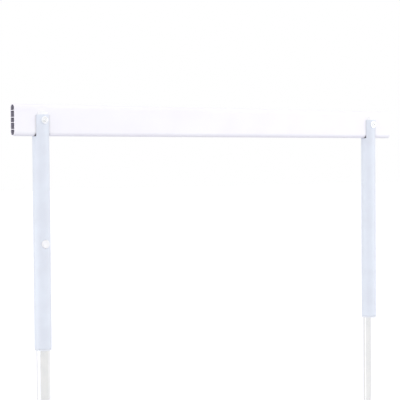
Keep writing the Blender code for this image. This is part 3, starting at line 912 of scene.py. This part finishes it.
# %% Guide bushes
BUSH_FLANGE = 4 * MM
BUSH_ROUNDING = 1 * MM
LEAD_IN = 0.5 * MM
guide_radius = sleeve_radius - SLEEVE_WALL - GAP
bore = post_radius + GAP
on_left_axis = Matrix.Translation((left_x, 0, 0))

low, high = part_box("left_guide_bush")
flange_radius = (high.y - low.y) / 2
flange_top = low.z + BUSH_FLANGE
lower_edge = (flange_radius - BUSH_ROUNDING, low.z + BUSH_ROUNDING)
profile = [
    (bore, high.z),
    (guide_radius - LEAD_IN, high.z),
    (guide_radius, high.z - 3 * LEAD_IN),
    (guide_radius, flange_top),
    (flange_radius - LEAD_IN / 2, flange_top),
    (flange_radius, flange_top - LEAD_IN / 2),
    *arc(lower_edge, (BUSH_ROUNDING, BUSH_ROUNDING), 0, -90, steps=6),
    (bore + LEAD_IN, low.z),
    (bore, low.z + LEAD_IN),
    (bore, high.z),
]
bush = turned("left_flanged_bush", profile, on_left_axis, TUBE_STEPS)
for side, piece in zip(SIDES, both_sides(bush)):
    hand_over(piece, "crossbar_frame", "white_nylon", pale_nylon, f"{side}_guide_bush")

# %% Post caps
CAP_TOP = 2.5 * MM

low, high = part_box("left_post_cap")
under = high.z - CAP_TOP
upper_edge = (guide_radius - BUSH_ROUNDING, high.z - BUSH_ROUNDING)
profile = [
    (0, high.z),
    *arc(upper_edge, (BUSH_ROUNDING, BUSH_ROUNDING), 90, 0, steps=6),
    (guide_radius, low.z + LEAD_IN),
    (guide_radius - LEAD_IN / 2, low.z),
    (bore + LEAD_IN / 2, low.z),
    (bore, low.z + LEAD_IN),
    (bore, under),
    (0, under),
]
cap = turned("left_moulded_cap", profile, on_left_axis, TUBE_STEPS)
for side, piece in zip(SIDES, both_sides(cap)):
    hand_over(piece, "posts", "white_nylon", white_nylon, f"{side}_post_cap")

# %% [markdown]
# ## Packers and washers
# Between the bar's flat face and the round sleeve there is a half-moon gap at the front and one
# at the rear. A moulded packer fills each and closes the tube's top with a dome. All four are
# one shape: a domed plug is spun, cut flat with Bisect, and drilled for the bolt. The cut leaves
# slivers narrower than the edge's rounding, so they are dissolved, and the cut face is pressed
# flat again before its edges are rounded.

# %% The four places of a packer or a washer
OTHER_PLACES = {
    "left_rear": TO_RIGHT.inverted() @ HALF_TURN,
    "right_front": TO_RIGHT,
    "right_rear": HALF_TURN,
}


def all_four(piece):
    """The left front piece and its three copies, each with the name of its place."""
    pieces = {"left_front": piece}
    for place_name, placement in OTHER_PLACES.items():
        pieces[place_name] = copied(piece, piece.name.replace("left_front", place_name), placement)
    return pieces.items()


# %% Packers
MOULDED_EDGE = 0.35 * MM
SLIVER = 0.3 * MM

low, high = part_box("left_front_packer")
dome_radii = (guide_radius - slot_half_width, high.z - ear_top)
profile = [
    (0, high.z),
    *arc((slot_half_width, ear_top), dome_radii, 90, 0, steps=20),
    (guide_radius, low.z),
    (0, low.z),
]
packer = turned("left_front_half_moon", profile, on_left_axis, TUBE_STEPS)
cut = (0, -slot_half_width, 0)
open_mesh(packer)
bpy.ops.mesh.select_all(action="SELECT")
bpy.ops.mesh.bisect(plane_co=cut, plane_no=(0, -1, 0), use_fill=True, clear_inner=True)
settle()
bpy.ops.mesh.dissolve_degenerate(threshold=SLIVER)
choose(packer, "verts", lambda vert: vert.co.y > -slot_half_width - SLIVER)
bpy.ops.transform.resize(value=(1, 0, 1), center_override=cut)
close_mesh()
drill_for_bolt(packer, left_x)
open_mesh(packer)
bpy.ops.mesh.select_all(action="SELECT")
bpy.ops.mesh.dissolve_degenerate(threshold=SLIVER / 3)
close_mesh()
soften(packer, MOULDED_EDGE)
for place_name, piece in all_four(packer):
    hand_over(piece, "crossbar_frame", "white_nylon", white_nylon, f"{place_name}_packer")

# %% [markdown]
# The saddle washers are flat on the outside, for the bolt's head or the nut, and hollowed on the
# inside to sit on the round sleeve. A disc is cut with a rod as thick as the sleeve.

# %% Saddle washers
WASHER_EDGE = 0.15 * MM

low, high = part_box("left_front_saddle_washer")
washer_radius = (high.z - low.z) / 2
inside, outside = (left_x, low.y / 2, bar_centre.z), (left_x, low.y, bar_centre.z)
washer = rod("left_front_hollowed_washer", washer_radius, inside, outside)
below, above = (left_x, 0, bar_low.z), (left_x, 0, bar_high.z)
carve(washer, rod("sleeve_form", sleeve_radius + GAP, below, above, TUBE_STEPS))
drill_for_bolt(washer, left_x)
soften(washer, WASHER_EDGE)
for place_name, piece in all_four(washer):
    hand_over(piece, "crossbar_frame", "washer_nylon", pale_nylon, f"{place_name}_saddle_washer")

# %% [markdown]
# ## Bolts and cap nuts
# The bar's bolts are flanged button-head screws. The head is spun from its profile, the shank
# with it, and the hexagon socket is pressed in with a six-sided rod. Both heads are at the front,
# so the copy for the right upright is moved and not turned.

# %% Bolts
BOLT_RADIUS = 4 * MM
HEAD_HEIGHT = 4.4 * MM
HEAD_FLANGE_THICKNESS = 1.3 * MM
HEAD_DOME_RADIUS = 7 * MM
SOCKET_WIDTH = 5 * MM
SOCKET_DEPTH = 2.6 * MM
PLATED_EDGE = 0.15 * MM
END_CHAMFER = 0.8 * MM


def hexagon_corner(width):
    """How far a hexagon's corners are from its middle, for this width across its flats."""
    return width / 2 / math.cos(math.radians(30))


def hexagon(name, width, start_y, end_y):
    """A six-sided rod along the left bolt's axis."""
    start, end = (left_x, start_y, bar_centre.z), (left_x, end_y, bar_centre.z)
    return rod(name, hexagon_corner(width), start, end, steps=6)


low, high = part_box("left_bar_bolt")
seat = -low.y - HEAD_HEIGHT
head_radius = (high.z - low.z) / 2
rise = HEAD_HEIGHT - HEAD_FLANGE_THICKNESS
ball_radius = (HEAD_DOME_RADIUS**2 + rise**2) / (2 * rise)
spread = math.degrees(math.asin(HEAD_DOME_RADIUS / ball_radius))
profile = [
    *arc((0, -low.y - ball_radius), (ball_radius, ball_radius), 90, 90 - spread, steps=14),
    (head_radius, seat + HEAD_FLANGE_THICKNESS),
    (head_radius, seat),
    (BOLT_RADIUS, seat),
    (BOLT_RADIUS, -high.y + END_CHAMFER),
    (BOLT_RADIUS - END_CHAMFER, -high.y),
    (0, -high.y),
]
bolt = turned("left_button_head_bolt", profile, facing(left_x, -1, bar_centre.z))
carve(bolt, hexagon("hexagon_punch", SOCKET_WIDTH, low.y - MM, low.y + SOCKET_DEPTH))
soften(bolt, PLATED_EDGE)
for side, piece in zip(SIDES, both_sides(bolt, TO_RIGHT)):
    hand_over(piece, "crossbar_frame", "bright_steel", bright_fastener, f"{side}_bar_bolt")

# %% [markdown]
# A cap nut closes each bolt at the rear. It is a hexagon with eased corners whose outer end is
# turned to a dome, so a hexagonal rod is intersected with the turned form, then bored for the
# bolt's end.

# %% Cap nuts
NUT_WIDTH = 13 * MM
NUT_SHOULDER = 7 * MM
NUT_CROWN = 2.5 * MM

low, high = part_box("left_cap_nut")
nut = hexagon("left_domed_nut", NUT_WIDTH, low.y, high.y)
soften(nut, PLATED_EDGE)
shoulder = hexagon_corner(NUT_WIDTH) + GAP
dome_radii = (shoulder - NUT_CROWN, high.y - low.y - NUT_SHOULDER)
profile = [
    (0, high.y),
    *arc((NUT_CROWN, low.y + NUT_SHOULDER), dome_radii, 90, 0, steps=24),
    (shoulder, low.y + GAP),
    (shoulder - MM, low.y - GAP),
    (0, low.y - GAP),
]
carve(nut, turned("nut_form", profile, facing(left_x, 1, bar_centre.z)), "INTERSECT")
bore_start = (left_x, low.y - MM, bar_centre.z)
bore_end = (left_x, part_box("left_bar_bolt")[1].y + 2 * GAP, bar_centre.z)
carve(nut, rod("nut_drill", BOLT_HOLE_RADIUS, bore_start, bore_end))
for side, piece in zip(SIDES, both_sides(nut, TO_RIGHT)):
    hand_over(piece, "crossbar_frame", "bright_steel", bright_fastener, f"{side}_cap_nut")

# %% [markdown]
# ## The height locks
# A push button fills the hole in each sleeve. Its face is dished a little for the thumb, its
# underside follows the post, and its stem goes through the post's slot to the brake shoe.

# %% Push buttons
BUTTON_ROUNDING = 1.2 * MM
BUTTON_UNDERSIDE = 18.6 * MM
DISH_RADIUS = 5.5 * MM
DISH_DEPTH = 0.5 * MM
DISH_LIP = 0.6 * MM
DISH_END = -10

low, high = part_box("left_lock_button")
button_radius = (high.x - low.x) / 2
button_face = -low.y
rim = (button_radius - BUTTON_ROUNDING, button_face - BUTTON_ROUNDING)
profile = [
    *arc((0, button_face), (DISH_RADIUS, DISH_DEPTH), -90, DISH_END, steps=8),
    (DISH_RADIUS + DISH_LIP, button_face),
    *arc(rim, (BUTTON_ROUNDING, BUTTON_ROUNDING), 90, 0, steps=8),
    (button_radius, 0),
    (0, 0),
]
button = turned("left_push_button", profile, facing(left_x, -1, lock_z))
below = (left_x, 0, lock_z - 2 * button_radius)
above = (left_x, 0, lock_z + 2 * button_radius)
carve(button, rod("underside_form", BUTTON_UNDERSIDE, below, above, TUBE_STEPS))
stem_end = (left_x, high.y, lock_z)
stem_top = (left_x, -(button_face + BUTTON_UNDERSIDE) / 2, lock_z)
carve(button, rod("stem", STEM_RADIUS, stem_end, stem_top), "UNION")
for side, piece in zip(SIDES, both_sides(button)):
    hand_over(piece, f"{side}_lock", "white_nylon", white_nylon, f"{side}_lock_button")

# %% [markdown]
# Behind each brake shoe sits a compression spring. Screw sweeps a small ring of wire round the
# axis, and the two cut ends are filled.

# %% Lock springs
SPRING_WIRE_RADIUS = 0.55 * MM
SPRING_TURNS = 5
WIRE_STEPS = 16
STEPS_PER_TURN = 36

low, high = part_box("left_lock_spring")
spring_length = high.y - low.y
coil_radius = (high.x - low.x) / 2 - SPRING_WIRE_RADIUS
half_length = spring_length / 2 - SPRING_WIRE_RADIUS
bpy.ops.mesh.primitive_circle_add(
    vertices=WIRE_STEPS,
    radius=SPRING_WIRE_RADIUS,
    location=(coil_radius, 0, -half_length),
    rotation=(math.radians(90), 0, 0),
)
coil = bake_place(bpy.context.object)
coil.name = "left_coil_spring"
apply_modifier(
    coil,
    "SCREW",
    axis="Z",
    screw_offset=2 * half_length / SPRING_TURNS,
    iterations=SPRING_TURNS,
    steps=STEPS_PER_TURN,
    render_steps=STEPS_PER_TURN,
)
open_mesh(coil)
for end in (-1, 1):
    choose(coil, "edges", lambda edge: edge.is_boundary and edge.verts[0].co.z * end > 0)
    bpy.ops.mesh.edge_face_add()
settle()
close_mesh()
coil.matrix_world = facing(left_x, -1, lock_z)
bake_place(coil)
for side, piece in zip(SIDES, both_sides(coil)):
    hand_over(piece, "crossbar_frame", "spring_steel", spring_wire, f"{side}_lock_spring")
    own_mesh(piece)

# %% [markdown]
# The brake shoes, their rear glides and the bolts' spacers are hidden inside the tubes and the
# bar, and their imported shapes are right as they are, so they only get their finish.

# %% Hidden pieces
for side in SIDES:
    hidden = {"lock_shoe": brake_rubber, "lock_glide": white_nylon, "spacer": bright_fastener}
    for name, finish in hidden.items():
        node = frame["nodes"][f"{side}_{name}"]
        node.data.materials.clear()
        node.data.materials.append(finish)
        print(node.name, "is finished in", finish.name)

# %% [markdown]
# ## Camera
# The camera stands where the photograph was taken from, worked out from the bar's and the
# uprights' edges, and has the focal length that goes with it.

# %% Camera
CAMERA_PLACE = (-1.93088, -2.66867, 0.77482)
YAW = 35.0021
PITCH = -1.6852
ROLL = -0.4607
FOCAL_PIXELS = 1275.52
FRAME_PIXELS = 400
SENSOR = 36.0

camera_data = bpy.data.cameras.new("photograph_camera")
camera_data.sensor_width = SENSOR
camera_data.lens = SENSOR * FOCAL_PIXELS / FRAME_PIXELS
camera_data.clip_start = 0.05
camera_data.clip_end = 100
camera = bpy.data.objects.new("photograph_camera", camera_data)
bpy.context.scene.collection.objects.link(camera)
camera.matrix_world = (
    Matrix.Translation(CAMERA_PLACE)
    @ Matrix.Rotation(math.radians(-YAW), 4, "Z")
    @ Matrix.Rotation(math.radians(90 + PITCH), 4, "X")
    @ Matrix.Rotation(math.radians(ROLL), 4, "Z")
)
bpy.context.scene.camera = camera
print("Camera lens", round(camera_data.lens, 1), "mm")

# %% [markdown]
# ## Studio
# The background is pure white to the camera, and bright metal mirrors the same white. The light
# itself is nearly even all round, as in the photograph. It is less from overhead, so that faces
# that look up aren't brighter than those that look forward, and two softboxes stand to the sides.

# %% World
HORIZON_LIGHT = 1.28
OVERHEAD_LIGHT = 0.8
SEEN_WHITE = 1.0


def seen_and_mirrored(tree):
    """What is 1 on camera rays, and what is 1 on rays that a surface mirrors or lets through."""
    path = add_node(tree, "LightPath")
    mirror_ray = add_node(
        tree,
        "Math",
        {0: path.outputs["Is Glossy Ray"], 1: path.outputs["Is Transmission Ray"]},
        operation="MAXIMUM",
    )
    return path.outputs["Is Camera Ray"], mirror_ray


world = bpy.data.worlds.new("white_studio")
bpy.context.scene.world = world
world.use_nodes = True
tree = world.node_tree
background = tree.nodes["Background"]
background.inputs["Color"].default_value = WHITE
direction = add_node(tree, "TexCoord")
up = add_node(tree, "SeparateXYZ", {"Vector": direction.outputs["Generated"]})
daylight = add_node(
    tree, "MapRange", {"Value": up.outputs["Z"], "To Min": HORIZON_LIGHT, "To Max": OVERHEAD_LIGHT}
)
camera_ray, mirror_ray = seen_and_mirrored(tree)
seen_ray = add_node(tree, "Math", {0: camera_ray, 1: mirror_ray}, operation="MAXIMUM")
strength = add_node(
    tree, "Mix", {"Factor": seen_ray, "A": daylight, "B": SEEN_WHITE}, data_type="FLOAT"
)
tree.links.new(in_use(strength.outputs)[0], background.inputs["Strength"])
print("Daylight falls from", HORIZON_LIGHT, "at the horizon to", OVERHEAD_LIGHT, "overhead")

# %% Lamps
bpy.context.scene.view_settings.view_transform = "Standard"


def softbox(name, place, aim, size, power):
    """A square lamp this wide, which mirrored rays don't see."""
    data = bpy.data.lights.new(name, "AREA")
    data.shape = "SQUARE"
    data.size = size
    data.energy = power
    lamp = bpy.data.objects.new(name, data)
    lamp.visible_glossy = False
    bpy.context.scene.collection.objects.link(lamp)
    turn = (Vector(aim) - Vector(place)).to_track_quat("-Z", "Y").to_matrix().to_4x4()
    lamp.matrix_world = Matrix.Translation(place) @ turn
    print(name, power, "W")


softbox("right_softbox", (6.4, -5.4, 2.4), aim=(0, 0, 0.75), size=3.5, power=100)
softbox("left_softbox", (-8.5, -1.8, 1.5), aim=(0, 0, 0.7), size=3.0, power=80)

# %% [markdown]
# A hall is never white all round. These screens stand where only mirrored rays see them. The
# grey one across the front left gives the bright posts their grey middle between white edges,
# and the one at the rear draws a thin grey line down each edge. The bright ones, one low and
# near at the left and one tall and far at the right, lift the sides of the sleeves and so leave
# a soft darker line down their middle.

# %% Screens for the mirrored rays
def standing_screen(name, start, end, height, tone):
    """An even upright sheet of light, whose lower edge runs from one point to another."""
    start, end = Vector(start), Vector(end)
    across = end - start
    bpy.ops.mesh.primitive_plane_add(size=1)
    screen = bpy.context.object
    screen.name = name
    screen.matrix_world = (
        Matrix.Translation((start + end) / 2 + Vector((0, 0, height / 2)))
        @ across.to_track_quat("X", "Z").to_matrix().to_4x4()
        @ Matrix.Rotation(math.radians(90), 4, "X")
        @ Matrix.Diagonal((across.length, height, 1, 1))
    )
    bake_place(screen)
    screen.visible_camera = False
    screen.visible_diffuse = False
    screen.visible_shadow = False
    material = bpy.data.materials.new(name)
    material.use_nodes = True
    tree = material.node_tree
    tree.nodes.clear()
    light = add_node(tree, "Emission", {"Color": WHITE, "Strength": tone})
    add_node(tree, "OutputMaterial", {"Surface": light})
    screen.data.materials.append(material)
    print(f"{name} is {across.length:.1f} m wide")


standing_screen("front_grey_screen", (-1.95, -0.13, 0), (0.45, -0.6, 0), height=0.82, tone=0.84)
standing_screen("rear_grey_screen", (1.6, 0.6, 0), (-0.95, 0.6, 0), height=2.4, tone=0.87)
standing_screen("left_bright_screen", (-1.35, 0.98, 0.2), (-1.85, -0.4, 0.2), height=0.35, tone=2.8)
standing_screen("right_bright_screen", (2.2, -4.2, 0), (4.0, -2.0, 0), height=2.4, tone=2.0)

# %% [markdown]
# A post's lower end mirrors what is low and near, and there the far screens run out on the
# floor. So a few low screens stand close round the posts and carry the bands on to the feet.

# %% Low screens close to the posts
NEAR_POST = 0.3
LOW_HEIGHT = 0.46


def low_screen(name, side, start, end, tone):
    """A low screen near a post, from one direction to another, in degrees round from +X."""
    corners = arc((upright_x[side], 0), (NEAR_POST, NEAR_POST), start, end, steps=1)
    low_start, low_end = [(x, y, 0) for x, y in corners]
    standing_screen(name, low_start, low_end, LOW_HEIGHT, tone)


low_screen("right_low_rear", "right", start=136, end=45, tone=0.85)
low_screen("right_low_white", "right", start=163, end=136, tone=1.1)
low_screen("right_low_front", "right", start=250, end=163, tone=0.87)
low_screen("left_low_side", "left", start=338, end=326, tone=0.86)

# %% [markdown]
# The floor is a pale sheet. To the camera it also glows a little, and more so away from the
# posts, until it meets the white background without a line, yet it still takes their shadows.
# Mirrored rays see the brighter glow everywhere.

# %% Floor
FLOOR_COLOUR = "#D0D0D8"
GLOW_NEAR = 0.28
GLOW_FAR = 0.46
GLOW_RISES_FROM = 0.55
GLOW_RISES_TO = 0.95
FLOOR_WIDTH = 60
FLOOR_DROP = 0.5 * MM

bpy.ops.mesh.primitive_plane_add(size=FLOOR_WIDTH, location=(0, 0, -FLOOR_DROP))
floor = bpy.context.object
floor.name = "floor"
floor_material = bpy.data.materials.new("pale_floor")
floor_material.use_nodes = True
tree = floor_material.node_tree
tree.nodes.clear()
place = add_node(tree, "TexCoord").outputs["Object"]
distance = add_node(tree, "VectorMath", {0: place}, operation="LENGTH")
glow = add_node(
    tree,
    "MapRange",
    {
        "Value": distance,
        "From Min": GLOW_RISES_FROM,
        "From Max": GLOW_RISES_TO,
        "To Min": GLOW_NEAR,
        "To Max": GLOW_FAR,
    },
    interpolation_type="SMOOTHSTEP",
)
camera_ray, mirror_ray = seen_and_mirrored(tree)
mirrored_glow = add_node(tree, "Math", {0: mirror_ray, 1: GLOW_FAR}, operation="MULTIPLY")
glow_strength = add_node(
    tree, "Math", {0: camera_ray, 1: glow, 2: mirrored_glow}, operation="MULTIPLY_ADD"
)
glow_light = add_node(tree, "Emission", {"Color": WHITE, "Strength": glow_strength})
sheet = add_node(tree, "BsdfDiffuse", {"Color": linear(FLOOR_COLOUR)})
both = add_node(tree, "AddShader", {0: sheet, 1: glow_light})
add_node(tree, "OutputMaterial", {"Surface": both})
floor.data.materials.append(floor_material)
print("The floor glows", GLOW_NEAR, "near the posts and", GLOW_FAR, "far from them")
